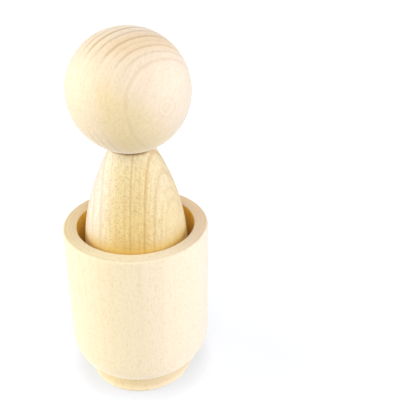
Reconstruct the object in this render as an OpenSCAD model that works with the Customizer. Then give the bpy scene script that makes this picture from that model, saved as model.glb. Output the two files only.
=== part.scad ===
// Peg doll in a footed cup: a drilled ball head, a tapering turned body and the dowel that joins
// them stand loose in a turned wooden cup. Millimetres, +Z up, origin on the floor under the foot.

/* [Head] */
// Diameter of the ball that is the head
head_d = 45; // [40:0.5:50]
// Diameter of the small flat under the ball, where it sits on the body
seat_d = 13; // [12:0.5:15]

/* [Body] */
// Widest diameter of the body, from its base up to the start of the taper
body_d = 41.5; // [38:0.5:45]
// Height of the body, base to neck
body_h = 90.5; // [80:0.5:100]
// Height of the straight lower part, below the taper
straight_h = 44.3; // [36:0.1:50]
// Diameter of the body's top, before its edge is rounded
neck_d = 16.6; // [16:0.1:19]
// Radius of the rounded edge at the neck
neck_edge_r = 1.2; // [0.6:0.1:1.6]
// Radius of the rounded edge at the base
base_edge_r = 2.5; // [1:0.1:4]

/* [Neck dowel] */
// Diameter of the holes drilled up into the head and down into the body
dowel_hole_d = 10; // [8:0.5:11]
// How much thicker the dowel is than its holes, so that it stays where it is tapped in
dowel_squeeze = 0.05; // [0.02:0.01:0.1]
// Length of dowel on each side of the neck
dowel_reach = 16; // [12:0.5:18]
// Bevel round both ends of the dowel
dowel_bevel = 1; // [0.5:0.1:1.5]
// Glue room left at the blind end of each hole
glue_room = 1; // [0.5:0.1:2]

/* [Cup] */
// Height of the cup, floor to rim
cup_h = 70.7; // [60:0.1:80]
// Outside diameter at the rim
rim_d = 57.6; // [55:0.1:58]
// Outside diameter low down, where the wall turns in to the bowl
girth_d = 58.4; // [58:0.1:62]
// Height at which the wall turns in
girth_z = 19.2; // [17:0.1:21]
// Radius of the turn from the wall into the bowl
bowl_r = 12.5; // [11.5:0.1:14]
// Diameter of the bore
bore_d = 46.7; // [46:0.1:49]
// Height of the bore's flat floor, on which the doll stands
bore_floor_z = 13; // [11:0.1:16]
// Radius of the corner between the bore's wall and its floor
bore_corner_r = 4; // [2:0.1:5]
// Radius of the eased outer edge of the rim
rim_edge_r = 0.9; // [0.4:0.1:1.4]
// Radius of the eased edge round the mouth of the bore
mouth_edge_r = 0.4; // [0.2:0.1:0.9]

/* [Foot] */
// Diameter of the foot where it meets the floor
foot_d = 44.3; // [42:0.1:47]
// Diameter of the waist between the bowl and the foot
waist_d = 40.6; // [38:0.1:41]
// Height of the foot's straight lower edge, below its cove
foot_lip_h = 1.2; // [0.8:0.1:2]
// Radius of the eased edge on the floor
foot_edge_r = 0.5; // [0.2:0.1:0.8]

/* [Hidden] */
$fn = 128;

// Overrun that lets a cut break cleanly through a face
cut = 1;

// Colours of the pale turned wood
cup_colour = [0.95, 0.88, 0.75];
body_colour = [0.91, 0.79, 0.60];
head_colour = [0.93, 0.81, 0.62];
dowel_colour = [0.86, 0.73, 0.53];

// Head: the ball's centre stands over the neck by the height of its flat
head_r = head_d / 2;
seat_r = seat_d / 2;
neck_z = bore_floor_z + body_h;
head_z = neck_z + sqrt(pow(head_r, 2) - pow(seat_r, 2));

// Body: one large arc, upright where the taper starts, runs up to the neck
body_r = body_d / 2;
neck_r = neck_d / 2;
taper_z = bore_floor_z + straight_h;
taper_h = neck_z - taper_z;
taper_in = body_r - neck_r;
taper_arc_r = (pow(taper_in, 2) + pow(taper_h, 2)) / (2 * taper_in);
taper_centre_r = body_r - taper_arc_r;

// Rounded edge at the neck: a small arc that touches the taper's arc and the flat top
neck_edge_z = neck_z - neck_edge_r;
neck_edge_lean = asin((neck_edge_z - taper_z) / (taper_arc_r - neck_edge_r));
neck_edge_centre_r = taper_centre_r + (taper_arc_r - neck_edge_r) * cos(neck_edge_lean);
neck_touch_z = taper_z + taper_arc_r * sin(neck_edge_lean);

// Dowel and its holes
dowel_r = (dowel_hole_d + dowel_squeeze) / 2;
hole_r = dowel_hole_d / 2;
hole_depth = dowel_reach + glue_room;

// Cup: a wall with a slight taper that runs without a break into the bowl's arc
rim_r = rim_d / 2;
girth_r = girth_d / 2;
bore_r = bore_d / 2;
bowl_centre_r = girth_r - bowl_r;
wall_lean = atan((girth_r - rim_r) / (cup_h - girth_z));
wall_foot_r = bowl_centre_r + bowl_r * cos(wall_lean);
wall_foot_z = girth_z + bowl_r * sin(wall_lean);

// Foot: a cove that is upright at the waist and runs out to the lip
foot_r = foot_d / 2;
waist_r = waist_d / 2;
waist_z = girth_z - sqrt(pow(bowl_r, 2) - pow(waist_r - bowl_centre_r, 2));
cove_out = foot_r - waist_r;
cove_h = waist_z - foot_lip_h;
cove_r = (pow(cove_out, 2) + pow(cove_h, 2)) / (2 * cove_out);

// A band of the profile plane from the axis out to radius r, between two heights
module band(r, low, high) {
    translate([0, low]) square([r, high - low]);
}

// A disc of the profile plane, kept on the right of the axis and between two heights
module round_band(centre_r, centre_z, r, low, high) {
    intersection() {
        translate([centre_r, centre_z]) circle(r = r);
        band(centre_r + r, low, high);
    }
}

// What a square outer corner of the profile loses when its edge is rounded
module outer_edge(r, z, edge_r) {
    difference() {
        translate([r - edge_r, z - edge_r]) square(edge_r + cut);
        translate([r - edge_r, z - edge_r]) circle(r = edge_r);
    }
}

// Half section of the taper with its rounded neck and base edges
module body_profile() {
    base_z = bore_floor_z;
    band(body_r - base_edge_r, base_z, taper_z);
    band(body_r, base_z + base_edge_r, taper_z);
    translate([body_r - base_edge_r, base_z + base_edge_r]) circle(r = base_edge_r);
    round_band(taper_centre_r, taper_z, taper_arc_r, taper_z, neck_touch_z);
    translate([neck_edge_centre_r, neck_edge_z]) circle(r = neck_edge_r);
    band(neck_edge_centre_r, taper_z, neck_z);
}

// Half section of the cup's outside: wall, bowl and foot, without the bore
module cup_outside() {
    polygon([[0, girth_z], [bowl_centre_r, girth_z], [wall_foot_r, wall_foot_z], [rim_r, cup_h], [0, cup_h]]);
    round_band(bowl_centre_r, girth_z, bowl_r, waist_z, wall_foot_z);
    band(bowl_centre_r, waist_z, girth_z);
    difference() {
        band(foot_r, 0, waist_z);
        intersection() {
            translate([waist_r + cove_r, waist_z]) circle(r = cove_r);
            band(foot_r + cut, foot_lip_h, waist_z);
        }
        mirror([0, 1]) outer_edge(foot_r, 0, foot_edge_r);
    }
}

// Half section of the bore, with its rounded floor corner and the eased inner edge of the rim
module cup_inside() {
    corner_z = bore_floor_z + bore_corner_r;
    band(bore_r - bore_corner_r, bore_floor_z, cup_h + cut);
    band(bore_r, corner_z, cup_h + cut);
    translate([bore_r - bore_corner_r, corner_z]) circle(r = bore_corner_r);
    difference() {
        translate([bore_r - cut, cup_h - mouth_edge_r]) square([mouth_edge_r + cut, mouth_edge_r + cut]);
        translate([bore_r + mouth_edge_r, cup_h - mouth_edge_r]) circle(r = mouth_edge_r);
    }
}

// The cup: turned from one blank, with a blind bore and a small flared foot
module cup() {
    color(cup_colour) rotate_extrude() difference() {
        cup_outside();
        cup_inside();
        outer_edge(rim_r, cup_h, rim_edge_r);
    }
}

// The body: a turned peg with a straight foot, a long taper and a hole drilled down from its top
module body() {
    color(body_colour) rotate_extrude() difference() {
        body_profile();
        band(hole_r, neck_z - hole_depth, neck_z + cut);
    }
}

// The dowel: a plain pin with bevelled ends, half in the body and half in the head
module neck_dowel() {
    bevelled_r = dowel_r - dowel_bevel;
    shank_h = 2 * (dowel_reach - dowel_bevel);
    color(dowel_colour) translate([0, 0, neck_z - dowel_reach]) {
        cylinder(h = dowel_bevel, r1 = bevelled_r, r2 = dowel_r);
        translate([0, 0, dowel_bevel]) cylinder(h = shank_h, r = dowel_r);
        translate([0, 0, dowel_bevel + shank_h]) cylinder(h = dowel_bevel, r1 = dowel_r, r2 = bevelled_r);
    }
}

// The head: a plain ball with a small flat below and a hole drilled up into it
module head() {
    color(head_colour) difference() {
        translate([0, 0, head_z]) sphere(r = head_r);
        translate([0, 0, neck_z - head_r]) cylinder(h = head_r, r = head_r);
        translate([0, 0, neck_z - cut]) cylinder(h = hole_depth + cut, r = hole_r);
    }
}

cup();
body();
neck_dowel();
head();
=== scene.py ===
"""Looks of a peg doll that stands in a footed cup, all of it bare turned wood."""

from __future__ import annotations

import logging
import math
from dataclasses import dataclass, replace
from enum import Enum
from typing import Mapping, NamedTuple, Optional, Sequence, Union

import bpy
from mathutils import Matrix, Vector


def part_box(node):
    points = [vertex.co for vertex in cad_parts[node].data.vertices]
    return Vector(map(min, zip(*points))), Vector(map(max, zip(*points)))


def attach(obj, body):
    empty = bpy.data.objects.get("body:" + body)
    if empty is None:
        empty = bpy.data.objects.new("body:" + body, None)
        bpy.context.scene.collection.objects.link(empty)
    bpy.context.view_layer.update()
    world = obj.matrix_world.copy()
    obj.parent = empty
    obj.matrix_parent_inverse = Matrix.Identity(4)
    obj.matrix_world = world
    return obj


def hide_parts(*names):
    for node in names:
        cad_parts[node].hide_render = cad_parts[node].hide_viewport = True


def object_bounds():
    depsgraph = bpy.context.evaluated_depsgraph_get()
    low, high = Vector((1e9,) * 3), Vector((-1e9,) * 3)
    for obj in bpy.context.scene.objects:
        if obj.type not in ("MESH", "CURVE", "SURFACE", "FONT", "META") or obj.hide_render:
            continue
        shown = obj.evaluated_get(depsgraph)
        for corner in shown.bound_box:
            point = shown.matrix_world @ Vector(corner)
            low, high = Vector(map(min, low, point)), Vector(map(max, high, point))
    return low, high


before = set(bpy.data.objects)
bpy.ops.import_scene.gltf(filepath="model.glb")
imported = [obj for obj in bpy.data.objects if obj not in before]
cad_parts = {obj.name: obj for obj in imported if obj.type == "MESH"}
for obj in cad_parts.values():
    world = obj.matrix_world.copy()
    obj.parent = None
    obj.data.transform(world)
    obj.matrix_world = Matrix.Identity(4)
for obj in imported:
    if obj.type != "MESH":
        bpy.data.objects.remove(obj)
CAD_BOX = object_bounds()

LOG = logging.getLogger("peg_doll")

# Sizes in this file are millimetres, and the scene is in metres.
MM = 0.001
# The photograph is square, and the camera's sizes in pixels are counted in it.
IMAGE_PX = 400
SENSOR_MM = 36.0
# Longest chord and fewest chords of a turned arc, and steps round the axis, so that no facet shows.
CHORD = 0.3
LEAST_CHORDS = 4
TURN_STEPS = 192
# Edges of a turned piece that are sharper than this many degrees stay sharp.
SHARP_DEGREES = 40.0
# Rays that tell how closely a point is shut in by what stands round it.
OPENNESS_RAYS = 16

# Sockets of a node that mixes colours, and the ways in which it puts one colour over another.
SHARE = 0
FIRST = 6
SECOND = 7
MIXED = 2
BLEND = {"data_type": "RGBA"}
TINT = {"data_type": "RGBA", "blend_type": "MULTIPLY"}
# Lets a map-range node leave one level and reach the other without a kink.
SMOOTH = {"interpolation_type": "SMOOTHSTEP"}

WHITE = "#FFFFFF"

Point = tuple[float, float]
Triple = tuple[float, float, float]
Socket = bpy.types.NodeSocket
Feed = Union[str, float, Sequence[float], Socket, bpy.types.Node]
Inputs = Union[Sequence[Feed], Mapping[Union[str, int], Feed]]


class Node(Enum):
    """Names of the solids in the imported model."""

    CUP = "cup"
    BODY = "body"
    DOWEL = "neck_dowel"
    HEAD = "head"


class Rider(Enum):
    """Names of the rigid bodies that the pieces move with."""

    CUP = "cup"
    DOLL = "doll"


def linear(colour: str) -> tuple[float, float, float, float]:
    """Turns an sRGB hex colour into linear light.

    Args:
        colour: Six hex digits after a hash mark.

    Returns:
        Red, green, blue and an alpha of one.
    """
    parts = [int(colour[i : i + 2], 16) / 255 for i in (1, 3, 5)]
    light = [c / 12.92 if c <= 0.04045 else ((c + 0.055) / 1.055) ** 2.4 for c in parts]
    return (*light, 1.0)


def add_node(
    tree: bpy.types.NodeTree, kind: str, inputs: Inputs = (), **settings: object
) -> bpy.types.Node:
    """Adds a shader node with its settings, values and links.

    Args:
        tree: The node tree that gets the node.
        kind: Blender's name for the type of node, without ShaderNode in front.
        inputs: What goes into the sockets, in order or by name or number: a plain value, a hex colour, a
            socket to link from, or a node whose first output is linked. A map-range node takes a value,
            the two ends that it runs between and the two levels that they turn into.
        settings: Attributes of the node.

    Returns:
        The new node.
    """
    node = tree.nodes.new(f"ShaderNode{kind}")
    for name, value in settings.items():
        setattr(node, name, value)
    for key, feed in inputs.items() if isinstance(inputs, dict) else enumerate(inputs):
        source = feed.outputs[0] if isinstance(feed, bpy.types.Node) else feed
        if isinstance(source, Socket):
            tree.links.new(source, node.inputs[key])
        else:
            node.inputs[key].default_value = linear(source) if isinstance(source, str) else source
    return node


def set_stops(ramp: bpy.types.Node, stops: Sequence[Point]) -> None:
    """Gives a colour ramp its grey stops.

    Args:
        ramp: The colour ramp node.
        stops: Places and grey levels, in rising order of place.
    """
    elements = ramp.color_ramp.elements
    elements.remove(elements[1])
    elements[0].position = stops[0][0]
    elements[0].color = (*(stops[0][1],) * 3, 1.0)
    for place, level in stops[1:]:
        elements.new(place).color = (level, level, level, 1.0)


def arc(centre: Point, radius: float, start: float, end: float, chord: float = CHORD) -> list[Point]:
    """Lays points along an arc of a half section.

    Args:
        centre: Radius and height of the arc's centre.
        radius: Radius of the arc.
        start: First angle in degrees, from straight out, turning towards up.
        end: Last angle in degrees.
        chord: Longest chord between two points.

    Returns:
        The points, both ends included.
    """
    count = max(LEAST_CHORDS, math.ceil(abs(math.radians(end - start)) * radius / chord))
    angles = [math.radians(start + (end - start) * i / count) for i in range(count + 1)]
    return [(centre[0] + radius * math.cos(a), centre[1] + radius * math.sin(a)) for a in angles]


def turn(name: str, section: Sequence[Point]) -> bpy.types.Object:
    """Turns a half section round the Z axis into a closed mesh.

    Args:
        name: Name of the new piece.
        section: Radius and height of each point, from one end on the axis to the other.

    Returns:
        The piece, with its place in its mesh.
    """
    turns = [2 * math.pi * j / TURN_STEPS for j in range(TURN_STEPS)]
    vertices = [(0.0, 0.0, section[0][1] * MM)]
    for radius, height in section[1:-1]:
        vertices += [(radius * math.cos(t) * MM, radius * math.sin(t) * MM, height * MM) for t in turns]
    vertices.append((0.0, 0.0, section[-1][1] * MM))
    last = len(vertices) - 1
    top = last - TURN_STEPS
    faces: list[tuple[int, ...]] = []
    for j in range(TURN_STEPS):
        k = (j + 1) % TURN_STEPS
        faces.append((0, 1 + k, 1 + j))
        for low in range(1, top, TURN_STEPS):
            high = low + TURN_STEPS
            faces.append((low + j, low + k, high + k, high + j))
        faces.append((top + j, top + k, last))
    mesh = bpy.data.meshes.new(name)
    mesh.from_pydata(vertices, [], faces)
    mesh.shade_smooth()
    mesh.set_sharp_from_angle(angle=math.radians(SHARP_DEGREES))
    piece = bpy.data.objects.new(name, mesh)
    bpy.context.scene.collection.objects.link(piece)
    return piece


@dataclass
class Grain:
    """Sockets that say where a point lies in the piece, and in the trunk that its wood was cut from.

    Attributes:
        tree: The material's node tree.
        local: The point, in millimetres.
        depth: How far back it lies.
        height: How high it lies.
        normal: The surface's direction.
        across: Offset from the pith across the fibres.
        axial: Offset along the fibres.
        along: Length of that offset.
        radius: Distance from the pith.
    """

    tree: bpy.types.NodeTree
    local: Socket
    depth: Socket
    height: Socket
    normal: Socket
    across: Socket
    axial: Socket
    along: Socket
    radius: Socket


class Ring(NamedTuple):
    """The line that ends a year's growth.

    Attributes:
        radius: Its distance from the pith.
        dark: Its darkness, from 0 to 1.
        faded: Its darkness where the wood's pale band crosses it.
    """

    radius: float
    dark: float
    faded: float = 0.0


@dataclass(frozen=True)
class Zone:
    """A stretch that fades out on both sides of its middle.

    Attributes:
        middle: Where its middle lies.
        half: Distance from the middle up to which it is full.
        clear: Distance from the middle at which it has died out.
    """

    middle: float
    half: float
    clear: float

    def level(self, place: Socket, inside: Feed, outside: Feed) -> Socket:
        """Goes over from one level to another with the distance from the middle.

        Args:
            place: Where the point lies, in the direction that the zone is measured in.
            inside: Level within the zone.
            outside: Level beyond it.

        Returns:
            The level at the point.
        """
        tree = place.id_data
        from_middle = add_node(tree, "Math", [place, self.middle], operation="SUBTRACT")
        away = add_node(tree, "Math", [from_middle], operation="ABSOLUTE")
        level = add_node(tree, "MapRange", [away, self.half, self.clear, inside, outside], **SMOOTH)
        return level.outputs[0]


@dataclass(frozen=True)
class TintedZone(Zone):
    """A zone with a tint of its own.

    Attributes:
        tint: Colour that the wood is multiplied by.
    """

    tint: str


@dataclass(frozen=True)
class GoldenYears(TintedZone):
    """A run of years whose wood came out more golden, measured from the pith outwards.

    Attributes:
        fade: Heights along the fibres, from the pith's point, where the tint is full and where it is gone.
    """

    fade: Point


@dataclass(frozen=True)
class WarmGap:
    """The golden light between a piece and a wall that stands close round it.

    Attributes:
        reach: Distance within which the wall counts.
        open_share: How open a point is where the glow is full and where it has died out, from 0 to 1.
        fade: Heights where the glow is full and where it has died out.
        glow: Colour that the wood goes over to where the wall is closest.
        share: How far it goes over to it, from 0 to 1.
    """

    reach: float
    open_share: Point
    fade: Point
    glow: str
    share: float


@dataclass(frozen=True)
class Swell:
    """A small rise in the growth rings, over a bud that was grown round.

    Attributes:
        at: Its middle.
        width: How far from the middle it dies out.
        height: How far it lifts the rings.
    """

    at: Triple
    width: float
    height: float


@dataclass(frozen=True)
class TurnedMaple:
    """Maple turned on a lathe, sanded fine and left bare.

    A pale, close-grained wood. Growth rings are long cylinders round a pith that lies outside the piece, so
    the same rings make ovals on a ball, arches on a taper, straight lines on a wall and arcs on end grain.
    Sanding leaves a matt face with a faint nap of cut fibres and no film to shine.

    Attributes:
        name: Name of the material.
        pith: A point on the pith.
        fibre: Direction of the fibres.
        rings: The ring lines that cross the piece, from the pith outwards.
        ring_step: Width of the rings inside and outside those.
        heart: Colour of the older wood.
        sap: Colour of the younger wood.
        to_sap: Direction from the older to the younger wood. On the body it runs mostly up, and the change
        along it is painted warm light from below.
        sap_from: Distances in that direction between which one colour goes over into the other.
        late: Colour of a ring line at its darkest.
        end: Tint of end grain, where the cut fibres drink in light.
        streak_strength: How far fibre streaks change the tone, from 0 to 1.
        fleck_strength: How far ray flecks change the tone, from 0 to 1.
        fleck_size: Size of a ray outwards, sideways and along the fibres.
        fleck_slant: How far a ray rises along the fibres for each step outwards.
        wander: How far the rings stray from true cylinders.
        nap: Strength of the sheen of cut fibres, from 0 to 1.
        tool_marks: Darkness of the circles that the turning tool left on end grain, from 0 to 1.
        end_back_painted_shade: Tint of end grain at the back of the piece, warmer and darker than in front
        as painted shade, if there is one.
        band: A stretch along the fibres, from the pith's point, where the ring lines fade, if there is one.
        golden: Runs of more golden years.
        swell: A rise in the rings, if there is one.
        painted_shade_belt: A band round the piece, measured by height, tinted darker as painted shade, if
        there is one.
        gap: Warm light from a close wall, if there is one.
    """

    name: str
    pith: Triple
    fibre: Triple
    rings: tuple[Ring, ...]
    ring_step: float
    heart: str
    sap: str
    to_sap: Triple
    sap_from: Point
    late: str
    end: str
    streak_strength: float
    fleck_strength: float
    fleck_size: Triple
    fleck_slant: float = 0.0
    wander: float = 0.3
    nap: float = 0.6
    tool_marks: float = 0.0
    end_back_painted_shade: Optional[str] = None
    band: Optional[Zone] = None
    golden: tuple[GoldenYears, ...] = ()
    swell: Optional[Swell] = None
    painted_shade_belt: Optional[TintedZone] = None
    gap: Optional[WarmGap] = None

    # Bare wood: a usual refractive index, a matt face that the fibre streaks vary a little, and a soft nap.
    IOR = 1.5
    ROUGHNESS = 0.6
    ROUGHNESS_SPREAD = 0.08
    NAP_ROUGHNESS = 0.4
    # Rings are counted out to this distance from the pith, past the far side of every piece.
    RING_SPAN = 84.0
    # Darkness of a year that isn't listed: least share of the listed mean, spread, and step between years.
    YEAR_LEAST = 0.6
    YEAR_SPREAD = 0.8
    YEAR_STEP = 0.618
    # Darkness across one ring: it rises slowly to a thin line half way and drops quickly after it.
    LINE_PROFILE = ((0.0, 0.04), (0.22, 0.14), (0.5, 1.0), (0.76, 0.0), (1.0, 0.04))
    # A ring strays over about the width of a thumb, and four times as far along the trunk.
    WANDER_SIZE = 16.0
    WANDER_LENGTH = 64.0
    WANDER_LEVELS = (0.2, 0.8)
    # Patches that break up the border between older and younger wood, and how far they move it.
    PATCH_SIZE = 20.0
    PATCH_LENGTH = 50.0
    PATCH_REACH = 16.0
    # Vessels are under 0.1 mm wide. They are drawn coarser, as bundles, so as to show.
    STREAK_WIDTH = 0.9
    STREAK_LENGTH = 40.0
    STREAK_LEVELS = (0.30, 0.72)
    # Sanded fibres stand up by some hundredths of a millimetre. They are drawn higher, so as to show.
    STREAK_RELIEF = 0.1
    STREAK_BUMP = 0.15
    # Rays are about 0.1 mm thick and 1 mm tall. Each finish draws its own thicker, so as to show.
    FLECK_LEVELS = (0.52, 0.70)
    # A tool moves on by about 0.2 mm a turn. Its circles are drawn farther apart, so as to show.
    TOOL_STEP = 0.8
    TOOL_LEVELS = (0.4, 0.7)
    # Squared cosine between a face's direction and the fibres at which end grain starts to show.
    END_FROM = 0.35
    # Depths, front and back, between which end grain goes over into its painted shade at the back.
    BACK_SHADE_DEPTHS = (-26.0, 22.0)

    def ring_lines(self) -> list[Ring]:
        """Lists every ring line out to the span, the given ones among them.

        Returns:
            The lines, from the pith outwards.
        """
        lines = list(self.rings)
        while lines[0].radius > self.ring_step:
            lines.insert(0, Ring(lines[0].radius - self.ring_step, self._year_dark(len(lines))))
        while lines[-1].radius < self.RING_SPAN - self.ring_step:
            lines.append(Ring(lines[-1].radius + self.ring_step, self._year_dark(len(lines))))
        return lines

    def material(self) -> bpy.types.Material:
        """Builds the node tree.

        Returns:
            The material.
        """
        material = bpy.data.materials.new(self.name)
        material.use_nodes = True
        tree = material.node_tree
        tree.nodes.clear()
        grain = self._grain(tree)
        streak = self._stretched_noise(grain, self.STREAK_WIDTH, self.STREAK_LENGTH, detail=3.0)
        colour = self._aged_and_painted_light(grain)
        colour = self._gilded(grain, colour)
        colour = self._lined(grain, colour, streak)
        colour = self._cut_across(grain, colour)
        colour = self._painted_belt_shade(grain, colour)
        colour = self._warmed(grain, colour)
        smoothest = self.ROUGHNESS - self.ROUGHNESS_SPREAD
        roughest = self.ROUGHNESS + self.ROUGHNESS_SPREAD
        roughness = add_node(tree, "MapRange", [streak, 0.0, 1.0, smoothest, roughest])
        bump = add_node(
            tree,
            "Bump",
            {"Strength": self.STREAK_BUMP, "Distance": self.STREAK_RELIEF * MM, "Height": streak},
        )
        shader = add_node(
            tree,
            "BsdfPrincipled",
            {
                "Base Color": colour,
                "Roughness": roughness,
                "IOR": self.IOR,
                "Normal": bump,
                "Sheen Weight": self.nap,
                "Sheen Roughness": self.NAP_ROUGHNESS,
            },
        )
        add_node(tree, "OutputMaterial", {"Surface": shader})
        return material

    def _year_dark(self, year: int) -> float:
        """Gives the darkness of a year that isn't listed, in an order that doesn't repeat."""
        mean = sum(ring.dark for ring in self.rings) / len(self.rings)
        return mean * (self.YEAR_LEAST + self.YEAR_SPREAD * (year * self.YEAR_STEP % 1))

    def _axis(self) -> Vector:
        """Gives the direction of the fibres at unit length."""
        return Vector(self.fibre).normalized()

    def _grain(self, tree: bpy.types.NodeTree) -> Grain:
        """Splits a point's offset from the pith into the parts across and along the fibres.

        Args:
            tree: The material's node tree.

        Returns:
            The sockets that hold them.
        """
        fibre = self._axis()
        place = add_node(tree, "TexCoord")
        local = add_node(
            tree, "VectorMath", {0: place.outputs["Object"], "Scale": 1 / MM}, operation="SCALE"
        )
        parts = add_node(tree, "SeparateXYZ", [local])
        offset = add_node(tree, "VectorMath", [local, self.pith], operation="SUBTRACT")
        along = add_node(tree, "VectorMath", [offset, fibre], operation="DOT_PRODUCT")
        axial = add_node(tree, "VectorMath", {0: fibre, "Scale": along.outputs["Value"]}, operation="SCALE")
        across = add_node(tree, "VectorMath", [offset, axial], operation="SUBTRACT")
        radius = add_node(tree, "VectorMath", [across], operation="LENGTH")
        return Grain(
            tree=tree,
            local=local.outputs[0],
            depth=parts.outputs["Y"],
            height=parts.outputs["Z"],
            normal=place.outputs["Normal"],
            across=across.outputs[0],
            axial=axial.outputs[0],
            along=along.outputs["Value"],
            radius=radius.outputs["Value"],
        )

    @staticmethod
    def _stretched_noise(grain: Grain, width: float, length: float, detail: float) -> Socket:
        """Adds noise that is drawn out along the fibres.

        Args:
            grain: Where the point lies.
            width: Size of the pattern across the fibres.
            length: Its size along them.
            detail: Levels of finer noise.

        Returns:
            The noise, from 0 to 1.
        """
        spot = add_node(
            grain.tree,
            "VectorMath",
            [grain.axial, (width / length,) * 3, grain.across],
            operation="MULTIPLY_ADD",
        )
        noise = add_node(grain.tree, "TexNoise", {"Vector": spot, "Scale": 1 / width, "Detail": detail})
        return noise.outputs["Fac"]

    def _flecks(self, grain: Grain) -> Socket:
        """Draws ray flecks: patches on a radial face, short dashes on a tangential one.

        Args:
            grain: Where the point lies.

        Returns:
            Their darkness.
        """
        tree = grain.tree
        fibre = self._axis()
        inward = -Vector(self.pith)
        inward = (inward - inward.dot(fibre) * fibre).normalized()
        ahead = add_node(tree, "VectorMath", [grain.across, inward], operation="DOT_PRODUCT")
        aside = add_node(tree, "VectorMath", [grain.across, fibre.cross(inward)], operation="DOT_PRODUCT")
        angle = add_node(
            tree, "Math", [aside.outputs["Value"], ahead.outputs["Value"]], operation="ARCTAN2"
        )
        rise = add_node(
            tree, "Math", [grain.radius, -self.fleck_slant, grain.along], operation="MULTIPLY_ADD"
        )
        place = add_node(tree, "CombineXYZ", [grain.radius, angle, rise])
        out, side, up = self.fleck_size
        middle_r = self.rings[len(self.rings) // 2].radius
        scaled = add_node(
            tree, "VectorMath", [place, (1 / out, middle_r / side, 1 / up)], operation="MULTIPLY"
        )
        noise = add_node(tree, "TexNoise", {"Vector": scaled, "Scale": 1.0, "Detail": 1.0})
        none, full = self.FLECK_LEVELS
        ramp = add_node(tree, "ValToRGB", {"Fac": noise.outputs["Fac"]})
        set_stops(ramp, ((none, 0.0), (full, 1.0)))
        return ramp.outputs["Color"]

    def _ring_radius(self, grain: Grain) -> Socket:
        """Lets the rings stray a little, and rise over the swell.

        Args:
            grain: Where the point lies.

        Returns:
            The distance from the pith by which rings are counted.
        """
        tree = grain.tree
        stray = self._stretched_noise(grain, self.WANDER_SIZE, self.WANDER_LENGTH, detail=2.0)
        least, most = self.WANDER_LEVELS
        shifts = [add_node(tree, "MapRange", [stray, least, most, -self.wander, self.wander])]
        if self.swell:
            away = add_node(tree, "VectorMath", [grain.local, self.swell.at], operation="DISTANCE")
            rise = add_node(
                tree,
                "MapRange",
                [away.outputs["Value"], 0.0, self.swell.width, self.swell.height, 0.0],
                **SMOOTH,
            )
            shifts.append(rise)
        radius = grain.radius
        for shift in shifts:
            radius = add_node(tree, "Math", [radius, shift], operation="ADD").outputs[0]
        return radius

    def _ring_line(self, grain: Grain) -> Socket:
        """Draws the growth rings.

        Args:
            grain: Where the point lies.

        Returns:
            The darkness of the ring lines.
        """
        tree = grain.tree
        share = add_node(tree, "Math", [self._ring_radius(grain), self.RING_SPAN], operation="DIVIDE")
        lines = self.ring_lines()
        total = len(lines)
        curve = add_node(tree, "FloatCurve", {"Value": share})
        points = curve.mapping.curves[0].points
        for i, line in enumerate(lines):
            points.new(line.radius / self.RING_SPAN, (i + 0.5) / total)
        for point in points:
            point.handle_type = "VECTOR"
        curve.mapping.update()
        count = add_node(tree, "Math", [curve, float(total)], operation="MULTIPLY")
        phase = add_node(tree, "Math", [count], operation="FRACT")
        profile = add_node(tree, "ValToRGB", {"Fac": phase})
        profile.color_ramp.interpolation = "EASE"
        set_stops(profile, self.LINE_PROFILE)
        strength = self._ring_strength(curve, [line.dark for line in lines])
        if self.band:
            faded = self._ring_strength(curve, [line.faded for line in lines])
            strength = self.band.level(grain.along, faded, strength)
        dark = add_node(tree, "Math", [profile.outputs["Color"], strength], operation="MULTIPLY")
        return dark.outputs[0]

    @staticmethod
    def _ring_strength(curve: bpy.types.Node, levels: Sequence[float]) -> Socket:
        """Gives each ring a level of its own.

        Args:
            curve: The node that counts the rings, as a share of them all.
            levels: The level of each ring.

        Returns:
            The level at a point.
        """
        ramp = add_node(curve.id_data, "ValToRGB", {"Fac": curve})
        ramp.color_ramp.interpolation = "CONSTANT"
        set_stops(ramp, [(i / len(levels), level) for i, level in enumerate(levels)])
        return ramp.outputs["Color"]

    def _aged_and_painted_light(self, grain: Grain) -> Socket:
        """Lets the older wood go over into the younger, which on the body is painted light.

        Args:
            grain: Where the point lies.

        Returns:
            The wood's colour, which on the body includes painted light.
        """
        patch = self._stretched_noise(grain, self.PATCH_SIZE, self.PATCH_LENGTH, detail=1.0)
        towards_sap = add_node(
            grain.tree,
            "VectorMath",
            [grain.local, Vector(self.to_sap).normalized()],
            operation="DOT_PRODUCT",
        )
        heart_to_sap_place = add_node(
            grain.tree,
            "Math",
            [patch, self.PATCH_REACH, towards_sap.outputs["Value"]],
            operation="MULTIPLY_ADD",
        )
        older, younger = [border + self.PATCH_REACH / 2 for border in self.sap_from]
        share = add_node(grain.tree, "MapRange", [heart_to_sap_place, older, younger], **SMOOTH)
        wood = add_node(grain.tree, "Mix", {SHARE: share, FIRST: self.heart, SECOND: self.sap}, **BLEND)
        return wood.outputs[MIXED]

    def _gilded(self, grain: Grain, colour: Socket) -> Socket:
        """Tints the runs of more golden years.

        Args:
            grain: Where the point lies.
            colour: The wood's colour so far.

        Returns:
            The colour with the tints.
        """
        for run in self.golden:
            full, none = run.fade
            share = add_node(
                grain.tree,
                "MapRange",
                [grain.along, full, none, run.level(grain.radius, 1.0, 0.0), 0.0],
                **SMOOTH,
            )
            colour = add_node(
                grain.tree, "Mix", {SHARE: share, FIRST: colour, SECOND: run.tint}, **TINT
            ).outputs[MIXED]
        return colour

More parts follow.
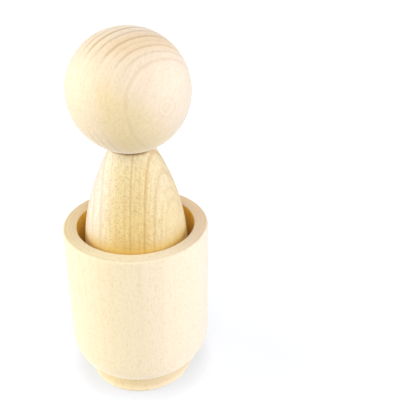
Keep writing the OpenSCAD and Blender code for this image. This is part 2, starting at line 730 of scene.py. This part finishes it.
    def _lined(self, grain: Grain, colour: Socket, streak: Socket) -> Socket:
        """Darkens fibre streaks, ray flecks and ring lines.

        Args:
            grain: Where the point lies.
            colour: The wood's colour so far.
            streak: Noise of the fibre streaks.

        Returns:
            The colour with the marks.
        """
        none, full = self.STREAK_LEVELS
        streaks = add_node(grain.tree, "MapRange", [streak, none, full, 0.0, self.streak_strength])
        flecks = add_node(
            grain.tree, "Math", [self._flecks(grain), self.fleck_strength], operation="MULTIPLY"
        )
        for share in (streaks.outputs[0], flecks.outputs[0], self._ring_line(grain)):
            colour = add_node(
                grain.tree, "Mix", {SHARE: share, FIRST: colour, SECOND: self.late}, **BLEND
            ).outputs[MIXED]
        return colour

    def _cut_across(self, grain: Grain, colour: Socket) -> Socket:
        """Tints end grain, with painted shade at its back, and draws the turning tool's circles on it.

        Args:
            grain: Where the point lies.
            colour: The wood's colour so far.

        Returns:
            The colour with end grain.
        """
        tree = grain.tree
        facing = add_node(tree, "VectorMath", [grain.normal, self._axis()], operation="DOT_PRODUCT")
        squared = add_node(
            tree, "Math", [facing.outputs["Value"], facing.outputs["Value"]], operation="MULTIPLY"
        )
        share = add_node(tree, "MapRange", [squared, self.END_FROM])
        tint: Feed = self.end
        # Painted shade: the back of the end grain goes over into a warmer, darker tint.
        if self.end_back_painted_shade:
            front, back = self.BACK_SHADE_DEPTHS
            back_shade_share = add_node(tree, "MapRange", [grain.depth, front, back])
            tint = add_node(
                tree, "Mix", {SHARE: back_shade_share, FIRST: tint, SECOND: self.end_back_painted_shade}, **BLEND
            ).outputs[MIXED]
        tinted = add_node(tree, "Mix", {SHARE: share, FIRST: colour, SECOND: tint}, **TINT)
        marks = add_node(tree, "Math", [share, self._tool_circles(grain)], operation="MULTIPLY")
        marked = add_node(
            tree, "Mix", {SHARE: marks, FIRST: tinted.outputs[MIXED], SECOND: self.late}, **BLEND
        )
        return marked.outputs[MIXED]

    def _tool_circles(self, grain: Grain) -> Socket:
        """Draws the fine circles that a turning tool leaves round the lathe's axis.

        Args:
            grain: Where the point lies.

        Returns:
            Their darkness.
        """
        tree = grain.tree
        flat = add_node(tree, "VectorMath", [grain.local, (1.0, 1.0, 0.0)], operation="MULTIPLY")
        reach = add_node(tree, "VectorMath", [flat], operation="LENGTH")
        noise = add_node(
            tree,
            "TexNoise",
            {"W": reach.outputs["Value"], "Scale": 1 / self.TOOL_STEP, "Detail": 1.0},
            noise_dimensions="1D",
        )
        none, full = self.TOOL_LEVELS
        circles = add_node(tree, "MapRange", [noise.outputs["Fac"], none, full, 0.0, self.tool_marks])
        return circles.outputs[0]

    def _painted_belt_shade(self, grain: Grain, colour: Socket) -> Socket:
        """Paints shade into a band of the piece's height, if there is one.

        Args:
            grain: Where the point lies.
            colour: The wood's colour so far.

        Returns:
            The colour with the painted shade.
        """
        if not self.painted_shade_belt:
            return colour
        share = self.painted_shade_belt.level(grain.height, 1.0, 0.0)
        tinted = add_node(grain.tree, "Mix", {SHARE: share, FIRST: colour, SECOND: self.painted_shade_belt.tint}, **TINT)
        return tinted.outputs[MIXED]

    def _warmed(self, grain: Grain, colour: Socket) -> Socket:
        """Lets the wood glow where a wall stands close to it, if there is one.

        Args:
            grain: Where the point lies.
            colour: The wood's colour so far.

        Returns:
            The colour with the glow.
        """
        if not self.gap:
            return colour
        openness = add_node(
            grain.tree, "AmbientOcclusion", {"Distance": self.gap.reach * MM}, samples=OPENNESS_RAYS
        )
        shut, clear = self.gap.open_share
        closeness = add_node(
            grain.tree, "MapRange", [openness.outputs["AO"], shut, clear, self.gap.share, 0.0]
        )
        full, none = self.gap.fade
        share = add_node(grain.tree, "MapRange", [grain.height, full, none, closeness, 0.0])
        warmed = add_node(grain.tree, "Mix", {SHARE: share, FIRST: colour, SECOND: self.gap.glow}, **BLEND)
        return warmed.outputs[MIXED]


# The cup: a blank from far out in the trunk, nearly white, with rings too faint to follow and short ray
# flecks all over. Its rim is end grain, duller than the wall, with the tool's circles on it; its back half
# has painted shade, warmer and darker than the front, and the cove under the bowl has painted shade too.
CUP_MAPLE = TurnedMaple(
    name="maple_turned_and_sanded_cup",
    pith=(-42.0, 34.0, 0.0),
    fibre=(0.0, 0.0, 1.0),
    rings=(Ring(40.0, 0.04), Ring(43.2, 0.05), Ring(46.0, 0.04), Ring(49.4, 0.05), Ring(52.6, 0.04)),
    ring_step=3.1,
    heart="#F1E1BC",
    sap="#F3E3CC",
    to_sap=(1.0, 0.0, 0.0),
    sap_from=(-12.0, 27.0),
    late="#D3AA70",
    end="#F6FAFA",
    # Painted shade: the back of the rim's end grain is tinted warmer and darker than the near-white front.
    end_back_painted_shade="#FAE9D3",
    streak_strength=0.06,
    fleck_strength=0.22,
    fleck_size=(2.6, 0.35, 1.5),
    wander=0.8,
    tool_marks=0.25,
    # Painted shade: the cove under the bowl, tinted darker in a band of height.
    painted_shade_belt=TintedZone(middle=5.0, half=2.0, clear=4.5, tint="#EEE9DA"),
)

# The bore: the same blank with no nap left, painted a deep gold that stands for the warm light
# bounced round between the bore and the doll.
BORE_MAPLE = replace(
    CUP_MAPLE,
    name="maple_bore_painted_golden_light",
    rings=(Ring(40.0, 0.1), Ring(43.2, 0.14), Ring(46.0, 0.1)),
    heart="#F4C453",
    sap="#F4C555",
    sap_from=(-20.0, 25.0),
    late="#C08A3A",
    end="#F0DDBC",
    end_back_painted_shade=None,
    streak_strength=0.15,
    fleck_strength=0.15,
    nap=0.0,
    tool_marks=0.0,
    painted_shade_belt=None,
)

# The body: a blank with the pith close outside it. Its rings stand as straight lines in front and as arches
# where the taper cuts them, between rays like fine hatching. It is golden low down and pale higher up:
# painted warm light thrown up by the cup, as is its golden glow by the bore.
BODY_MAPLE = TurnedMaple(
    name="maple_turned_and_sanded_body",
    pith=(27.6, -14.1, 80.0),
    fibre=(0.043, 0.061, 0.997),
    rings=(
        Ring(11.6, 0.12), Ring(14.8, 0.16), Ring(16.1, 0.17), Ring(18.7, 0.28),
        Ring(22.6, 0.44), Ring(24.6, 0.16), Ring(26.3, 0.18), Ring(27.7, 0.42),
        Ring(29.8, 0.15), Ring(33.2, 0.06), Ring(35.4, 0.12),
    ),
    ring_step=3.6,
    heart="#E7D6A9",
    sap="#E5E1D1",
    # Painted light: this direction runs mostly upwards, so the body is golden low down and pale up high.
    to_sap=(-0.7, 0.0, 0.71),
    sap_from=(46.0, 78.0),
    late="#B98632",
    end="#F0E4D4",
    streak_strength=0.24,
    fleck_strength=0.44,
    fleck_size=(2.0, 0.3, 0.42),
    fleck_slant=0.5,
    wander=0.15,
    nap=0.2,
    golden=(GoldenYears(middle=28.6, half=3.0, clear=12.5, tint="#FFF4D0", fade=(14.0, 32.0)),),
    gap=WarmGap(reach=12.0, open_share=(0.25, 0.75), fade=(74.0, 84.0), glow="#FFE068", share=0.6),
)

# The head: a blank that lay askew to the trunk, so the rings cross the ball as ovals, clear on top and
# fading in front, with a small eye over a grown-round bud.
HEAD_MAPLE = TurnedMaple(
    name="maple_turned_and_sanded_ball",
    pith=(-24.98, 16.61, 129.72),
    fibre=(0.4413, 0.4437, 0.78),
    rings=(
        Ring(26.3, 0.30), Ring(29.5, 0.50), Ring(32.5, 0.72), Ring(35.6, 0.38),
        Ring(38.85, 0.50), Ring(40.7, 0.15), Ring(42.5, 0.35, 0.03), Ring(44.5, 0.24, 0.02),
        Ring(46.6, 0.20, 0.11), Ring(49.0, 0.0), Ring(52.7, 0.0), Ring(53.2, 0.24, 0.24),
        Ring(53.8, 0.0), Ring(54.5, 0.07, 0.07),
    ),
    ring_step=3.3,
    heart="#EAD7B5",
    sap="#EAD8C2",
    to_sap=(1.0, 0.0, 0.0),
    sap_from=(-18.0, 18.0),
    late="#B0884E",
    end="#FEFDF8",
    streak_strength=0.13,
    fleck_strength=0.12,
    fleck_size=(2.6, 0.45, 1.0),
    wander=0.1,
    band=Zone(middle=-9.0, half=8.0, clear=16.0),
    golden=(
        GoldenYears(middle=46.0, half=3.0, clear=9.0, tint="#FFFDE6", fade=(-10.0, 0.0)),
        GoldenYears(middle=40.0, half=2.0, clear=5.0, tint="#FDF6E7", fade=(10.0, 3.0)),
    ),
    swell=Swell(at=(14.0, -17.61, 125.4), width=6.0, height=3.0),
)

# The dowel: a rod drawn to size, with plain straight lines along it.
DOWEL_MAPLE = TurnedMaple(
    name="maple_drawn_dowel",
    pith=(-21.0, 6.0, 0.0),
    fibre=(0.0, 0.0, 1.0),
    rings=(Ring(18.0, 0.3), Ring(20.6, 0.4), Ring(23.0, 0.3)),
    ring_step=2.7,
    heart="#E4C894",
    sap="#E8D0A6",
    to_sap=(1.0, 0.0, 0.0),
    sap_from=(-5.0, 5.0),
    late="#BF9057",
    end="#F0E4D4",
    streak_strength=0.35,
    fleck_strength=0.2,
    fleck_size=(2.6, 0.35, 0.9),
)


@dataclass
class TurnedPiece:
    """A piece that was turned on a lathe.

    Attributes:
        node: The solid that the piece stands for.
        rider: The body that it moves with.
        slot: The record's material slot. Not used.
        wood: Its finish.
    """

    node: Node
    rider: Rider
    slot: str
    wood: TurnedMaple

    def section(self) -> list[Point]:
        """Gives the half section, from one end on the axis to the other."""
        raise NotImplementedError

    def span(self) -> tuple[Vector, Vector]:
        """Gives the lowest and highest corners of the solid in millimetres."""
        low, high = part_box(self.node.value)
        return low / MM, high / MM

    def build(self) -> bpy.types.Object:
        """Turns the section into a mesh."""
        return turn(f"turned_{self.node.value}", self.section())

    def dress(self, piece: bpy.types.Object) -> None:
        """Gives the mesh its wood and its place in the model.

        Args:
            piece: The mesh that build made.
        """
        piece.data.materials.append(self.wood.material())
        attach(piece, self.rider.value)
        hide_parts(self.node.value)
        LOG.info("%s: %d faces, rides on %s", piece.name, len(piece.data.polygons), self.rider.value)


@dataclass
class FootedCup(TurnedPiece):
    """The cup: a wall that runs into a round bowl, a flared foot and a blind bore.

    Attributes:
        rim_d: Outside diameter at the rim.
        girth_z: Height at which the wall turns in to the bowl.
        bowl_r: Radius of that turn.
        bore_d: Diameter of the bore.
        bore_floor_z: Height of the bore's floor.
        bore_corner_r: Radius of the corner between the bore's wall and its floor.
        rim_edge_r: Radius of the eased outer edge of the rim.
        mouth_edge_r: Radius of the eased edge round the mouth of the bore.
        foot_d: Diameter of the foot on the floor.
        waist_d: Diameter between bowl and foot.
        foot_lip_h: Height of the foot's straight edge.
        foot_edge_r: Radius of the eased edge on the floor.
        bore_wood: Finish of the bore, painted deep gold as the warm light inside it.
    """

    rim_d: float = 57.6
    girth_z: float = 19.2
    bowl_r: float = 12.5
    bore_d: float = 46.7
    bore_floor_z: float = 13.0
    bore_corner_r: float = 4.0
    rim_edge_r: float = 0.9
    mouth_edge_r: float = 0.4
    foot_d: float = 44.3
    waist_d: float = 40.6
    foot_lip_h: float = 1.2
    foot_edge_r: float = 0.5
    bore_wood: TurnedMaple = BORE_MAPLE

    # Slack within which a face counts as one of the bore's.
    BORE_SLACK = 0.01

    def section(self) -> list[Point]:
        """Gives the half section, from under the foot, up the outside and down the bore.

        Returns:
            Radius and height of each point.
        """
        _, high = self.span()
        rim_z = high.z
        girth_r = high.x
        return [(0.0, 0.0), *self._foot(girth_r), *self._outside(girth_r, rim_z), *self._bore(rim_z)]

    def dress(self, piece: bpy.types.Object) -> None:
        """Gives the outside and the bore their finishes.

        Args:
            piece: The mesh that build made.
        """
        super().dress(piece)
        piece.data.materials.append(self.bore_wood.material())
        lowest = self.bore_floor_z - self.BORE_SLACK
        widest = self.bore_d / 2 + self.BORE_SLACK
        for face in piece.data.polygons:
            middle = face.center / MM
            if middle.z >= lowest and middle.xy.length <= widest:
                face.material_index = 1

    def _waist_z(self, girth_r: float) -> float:
        """Gives the height at which the bowl's arc reaches the waist."""
        reach = self.waist_d / 2 - (girth_r - self.bowl_r)
        return self.girth_z - math.sqrt(self.bowl_r**2 - reach**2)

    def _foot(self, girth_r: float) -> list[Point]:
        """Lays the foot's edge, lip and cove.

        Args:
            girth_r: Outside radius where the wall turns in.

        Returns:
            Points from the floor up to the waist.
        """
        foot_r = self.foot_d / 2
        edge = self.foot_edge_r
        out = foot_r - self.waist_d / 2
        rise = self._waist_z(girth_r) - self.foot_lip_h
        cove_r = (out**2 + rise**2) / (2 * out)
        lowest = math.degrees(math.asin(rise / cove_r))
        centre = (self.waist_d / 2 + cove_r, self._waist_z(girth_r))
        return [*arc((foot_r - edge, edge), edge, -90, 0), *arc(centre, cove_r, 180 + lowest, 180)]

    def _outside(self, girth_r: float, rim_z: float) -> list[Point]:
        """Lays the bowl and the wall.

        Args:
            girth_r: Outside radius where the wall turns in.
            rim_z: Height of the rim.

        Returns:
            Points from the waist up to the flat of the rim.
        """
        rim_r = self.rim_d / 2
        edge = self.rim_edge_r
        centre = (girth_r - self.bowl_r, self.girth_z)
        lean = math.degrees(math.atan((girth_r - rim_r) / (rim_z - self.girth_z)))
        drop = self.girth_z - self._waist_z(girth_r)
        lowest = -math.degrees(math.asin(drop / self.bowl_r))
        bowl = arc(centre, self.bowl_r, lowest, lean)
        return [*bowl[1:], *arc((rim_r - edge, rim_z - edge), edge, 0, 90)]

    def _bore(self, rim_z: float) -> list[Point]:
        """Lays the inner edge of the rim, the bore's wall, its corner and its floor.

        Args:
            rim_z: Height of the rim.

        Returns:
            Points from the flat of the rim to the middle of the floor.
        """
        bore_r = self.bore_d / 2
        edge = self.mouth_edge_r
        corner = self.bore_corner_r
        mouth = arc((bore_r + edge, rim_z - edge), edge, 90, 180)
        turn_in = arc((bore_r - corner, self.bore_floor_z + corner), corner, 0, -90)
        return [*mouth, *turn_in, (0.0, self.bore_floor_z)]


@dataclass
class TaperedBody(TurnedPiece):
    """The body: straight below, then one long arc in to the neck, with a hole for the dowel.

    Attributes:
        straight_h: Height of the straight part.
        neck_d: Diameter of the top before its edge is rounded.
        neck_edge_r: Radius of the rounded edge at the neck.
        base_edge_r: Radius of the rounded edge at the base.
        hole_d: Diameter of the dowel's hole.
        hole_depth: Depth of that hole.
    """

    straight_h: float = 44.3
    neck_d: float = 16.6
    neck_edge_r: float = 1.2
    base_edge_r: float = 2.5
    hole_d: float = 10.0
    hole_depth: float = 17.0

    def section(self) -> list[Point]:
        """Gives the half section, from the base, up the taper and down the hole.

        Returns:
            Radius and height of each point.
        """
        low, high = self.span()
        body_r = high.x
        taper_z = low.z + self.straight_h
        rise = high.z - taper_z
        inward = body_r - self.neck_d / 2
        taper_r = (inward**2 + rise**2) / (2 * inward)
        edge = self.neck_edge_r
        lean = math.degrees(math.asin((rise - edge) / (taper_r - edge)))
        edge_r = body_r - taper_r + (taper_r - edge) * math.cos(math.radians(lean))
        base = self.base_edge_r
        hole_z = high.z - self.hole_depth
        return [
            (0.0, low.z),
            *arc((body_r - base, low.z + base), base, -90, 0),
            *arc((body_r - taper_r, taper_z), taper_r, 0, lean),
            *arc((edge_r, high.z - edge), edge, lean, 90)[1:],
            (self.hole_d / 2, high.z),
            (self.hole_d / 2, hole_z),
            (0.0, hole_z),
        ]


@dataclass
class BallHead(TurnedPiece):
    """The head: a ball with a small flat below and a hole for the dowel.

    Attributes:
        ball_d: Diameter of the ball.
        seat_d: Diameter of the flat.
        hole_d: Diameter of the dowel's hole.
        hole_depth: Depth of that hole.
        chord: Longest chord of the ball's outline.
    """

    ball_d: float = 45.0
    seat_d: float = 13.0
    hole_d: float = 10.0
    hole_depth: float = 17.0
    chord: float = 0.5

    def section(self) -> list[Point]:
        """Gives the half section, from the end of the hole, out over the flat and up the ball.

        Returns:
            Radius and height of each point.
        """
        low, high = self.span()
        ball_r = self.ball_d / 2
        hole_r = self.hole_d / 2
        hole_z = low.z + self.hole_depth
        start = -math.degrees(math.acos(self.seat_d / 2 / ball_r))
        ball = arc((0.0, high.z - ball_r), ball_r, start, 90, self.chord)
        return [(0.0, hole_z), (hole_r, hole_z), (hole_r, low.z), *ball[:-1], (0.0, high.z)]


@dataclass
class NeckDowel(TurnedPiece):
    """The dowel: a plain pin with bevelled ends.

    Attributes:
        bevel: Width of the bevel at each end.
    """

    bevel: float = 1.0

    def section(self) -> list[Point]:
        """Gives the half section, from the lower end to the upper one.

        Returns:
            Radius and height of each point.
        """
        low, high = self.span()
        pin_r = high.x
        return [
            (0.0, low.z),
            (pin_r - self.bevel, low.z),
            (pin_r, low.z + self.bevel),
            (pin_r, high.z - self.bevel),
            (pin_r - self.bevel, high.z),
            (0.0, high.z),
        ]


@dataclass(frozen=True)
class WhiteSweep:
    """A roll of matt white paper that the studio's light burns out, apart from a soft shadow that is partly
    lit and partly painted where the paper is shut in near the object.

    Attributes:
        name: Name of the material.
        glow: Share of white that the camera always sees near the object. It is all white farther off.
        near: Distance in metres at which the white starts to rise.
        far: Distance in metres at which it is full.
        painted_shadow_reach: Distance in metres within which a painted shadow darkens the paper near the
            object.
        painted_shadow_depth: Share of the glow that the painted shadow leaves where the object nearly
            touches.
        shade: Paper colour whose light is added to the glow, so that it carries the shadow.
        paper: Paper colour that lights the object from below.
    """

    name: str = "paper_matt_white"
    glow: float = 0.67
    near: float = 0.06
    far: float = 0.30
    painted_shadow_reach: float = 0.012
    painted_shadow_depth: float = 0.55
    shade: str = "#9EA1A8"
    paper: str = "#EAEAEA"

    def material(self) -> bpy.types.Material:
        """Builds the node tree.

        Returns:
            The material.
        """
        material = bpy.data.materials.new(self.name)
        material.use_nodes = True
        tree = material.node_tree
        tree.nodes.clear()
        path = add_node(tree, "LightPath")
        bounce = add_node(tree, "BsdfDiffuse", {"Color": self.paper})
        shade = add_node(tree, "BsdfDiffuse", {"Color": self.shade})
        place = add_node(tree, "TexCoord")
        reach = add_node(tree, "VectorMath", [place.outputs["Object"]], operation="LENGTH")
        rise = add_node(tree, "MapRange", [reach.outputs["Value"], self.near, self.far, self.glow])
        # Painted shadow: the paper's glow dims where it is shut in by the object close by.
        openness = add_node(tree, "AmbientOcclusion", {"Distance": self.painted_shadow_reach}, samples=OPENNESS_RAYS)
        painted_shadow = add_node(tree, "MapRange", [openness.outputs["AO"], 0.0, 1.0, self.painted_shadow_depth])
        level = add_node(tree, "Math", [rise, painted_shadow], operation="MULTIPLY")
        glow = add_node(tree, "Emission", {"Color": WHITE, "Strength": level})
        seen = add_node(tree, "AddShader", [glow, shade])
        mix = add_node(tree, "MixShader", [path.outputs["Is Camera Ray"], bounce, seen])
        add_node(tree, "OutputMaterial", {"Surface": mix})
        return material


@dataclass(frozen=True)
class SoftBox:
    """A square studio lamp behind a diffuser.

    Attributes:
        name: Name of the lamp.
        turn: Degrees round from straight in front of the object, to the right.
        height: Degrees above the floor.
        reach: Distance from the object in metres.
        width: Side of the diffuser in metres.
        power: Watts.
        colour: Colour of the light.
    """

    name: str
    turn: float
    height: float
    reach: float
    width: float
    power: float
    colour: str = WHITE

    def build(self, aim: Vector) -> None:
        """Hangs the lamp.

        Args:
            aim: The point that it faces.
        """
        lamp = bpy.data.lights.new(self.name, "AREA")
        lamp.shape = "SQUARE"
        lamp.size = self.width
        lamp.energy = self.power
        lamp.color = linear(self.colour)[:3]
        turned = math.radians(self.turn)
        raised = math.radians(self.height)
        back = Vector(
            (math.sin(turned) * math.cos(raised), -math.cos(turned) * math.cos(raised), math.sin(raised))
        )
        box = bpy.data.objects.new(self.name, lamp)
        box.location = aim + back * self.reach
        box.rotation_euler = (-back).to_track_quat("-Z", "Y").to_euler()
        box.visible_camera = False
        bpy.context.scene.collection.objects.link(box)
        LOG.info("%s: %.1f W", self.name, self.power)


@dataclass
class Studio:
    """Floor, lamps, surroundings and camera.

    Attributes:
        sweep: Finish of the floor.
        sweep_m: Side of the floor in metres.
        sweep_drop: Gap between the floor and the underside of the foot.
        ambient: Strength of the light from all round.
        lamps: The soft boxes.
        focal_px: Focal length of the camera, in pixels of the photograph.
        camera_at: Place of the camera.
        clip_m: Distance in metres within which the camera sees nothing.
        pitch: Degrees that the camera looks down.
        roll: Degrees that its right side is raised.
    """

    sweep: WhiteSweep = WhiteSweep()
    sweep_m: float = 8.0
    sweep_drop: float = 0.05
    ambient: float = 0.06
    lamps: tuple[SoftBox, ...] = (
        SoftBox("softbox_left", turn=-90.0, height=15.0, reach=1.0, width=0.8, power=10.2),
        SoftBox("softbox_right", turn=90.0, height=15.0, reach=1.0, width=0.8, power=8.3, colour="#F6F9FF"),
        SoftBox("softbox_front", turn=5.0, height=37.0, reach=1.2, width=0.9, power=9.4),
        SoftBox("softbox_top", turn=0.0, height=88.0, reach=1.0, width=0.9, power=2.6),
    )
    focal_px: float = 600.0
    camera_at: Triple = (25.52, -205.32, 194.27)
    clip_m: float = 0.01
    pitch: float = 28.95
    roll: float = 0.32

    def build(self) -> None:
        """Sets up everything round the object."""
        self._floor()
        low, high = CAD_BOX
        for lamp in self.lamps:
            lamp.build((low + high) / 2)
        self._surroundings()
        self._camera()
        bpy.context.scene.view_settings.view_transform = "Standard"

    def _floor(self) -> None:
        """Lays the white sweep under the foot."""
        half = self.sweep_m / 2
        corners = [(-half, -half), (half, -half), (half, half), (-half, half)]
        mesh = bpy.data.meshes.new("sweep")
        mesh.from_pydata([(x, y, -self.sweep_drop * MM) for x, y in corners], [], [(0, 1, 2, 3)])
        mesh.materials.append(self.sweep.material())
        floor = bpy.data.objects.new("sweep", mesh)
        bpy.context.scene.collection.objects.link(floor)

    def _surroundings(self) -> None:
        """Makes the world: a low even light, and white where it is seen directly or as a reflection."""
        world = bpy.data.worlds.new("white_studio")
        world.use_nodes = True
        tree = world.node_tree
        tree.nodes.clear()
        path = add_node(tree, "LightPath")
        seen = add_node(
            tree,
            "Math",
            [path.outputs["Is Camera Ray"], path.outputs["Is Glossy Ray"]],
            operation="MAXIMUM",
        )
        low = add_node(tree, "Background", {"Color": WHITE, "Strength": self.ambient})
        full = add_node(tree, "Background", {"Color": WHITE, "Strength": 1.0})
        mix = add_node(tree, "MixShader", [seen, low, full])
        add_node(tree, "OutputWorld", {"Surface": mix})
        bpy.context.scene.world = world

    def _camera(self) -> None:
        """Stands the camera where the photograph was taken from."""
        lens = bpy.data.cameras.new("camera")
        lens.sensor_width = SENSOR_MM
        lens.lens = self.focal_px / IMAGE_PX * SENSOR_MM
        lens.clip_start = self.clip_m
        pitch = math.radians(self.pitch)
        roll = math.radians(self.roll)
        back = Vector((0.0, -math.cos(pitch), math.sin(pitch)))
        level_up = Vector((0.0, math.sin(pitch), math.cos(pitch)))
        level_right = Vector((1.0, 0.0, 0.0))
        right = math.cos(roll) * level_right + math.sin(roll) * level_up
        up = math.cos(roll) * level_up - math.sin(roll) * level_right
        camera = bpy.data.objects.new("camera", lens)
        facing = Matrix((right, up, back)).transposed().to_4x4()
        camera.matrix_world = Matrix.Translation(Vector(self.camera_at) * MM) @ facing
        bpy.context.scene.collection.objects.link(camera)
        bpy.context.scene.camera = camera


def main() -> None:
    """Builds and dresses the pieces in order, then the studio."""
    logging.basicConfig(level=logging.INFO, format="%(name)s %(message)s")
    pieces: list[TurnedPiece] = [
        FootedCup(Node.CUP, Rider.CUP, "cup_wood", CUP_MAPLE),
        TaperedBody(Node.BODY, Rider.DOLL, "body_wood", BODY_MAPLE),
        NeckDowel(Node.DOWEL, Rider.DOLL, "dowel_wood", DOWEL_MAPLE),
        BallHead(Node.HEAD, Rider.DOLL, "head_wood", HEAD_MAPLE),
    ]
    for piece in pieces:
        piece.dress(piece.build())
    Studio().build()


if __name__ == "__main__":
    main()
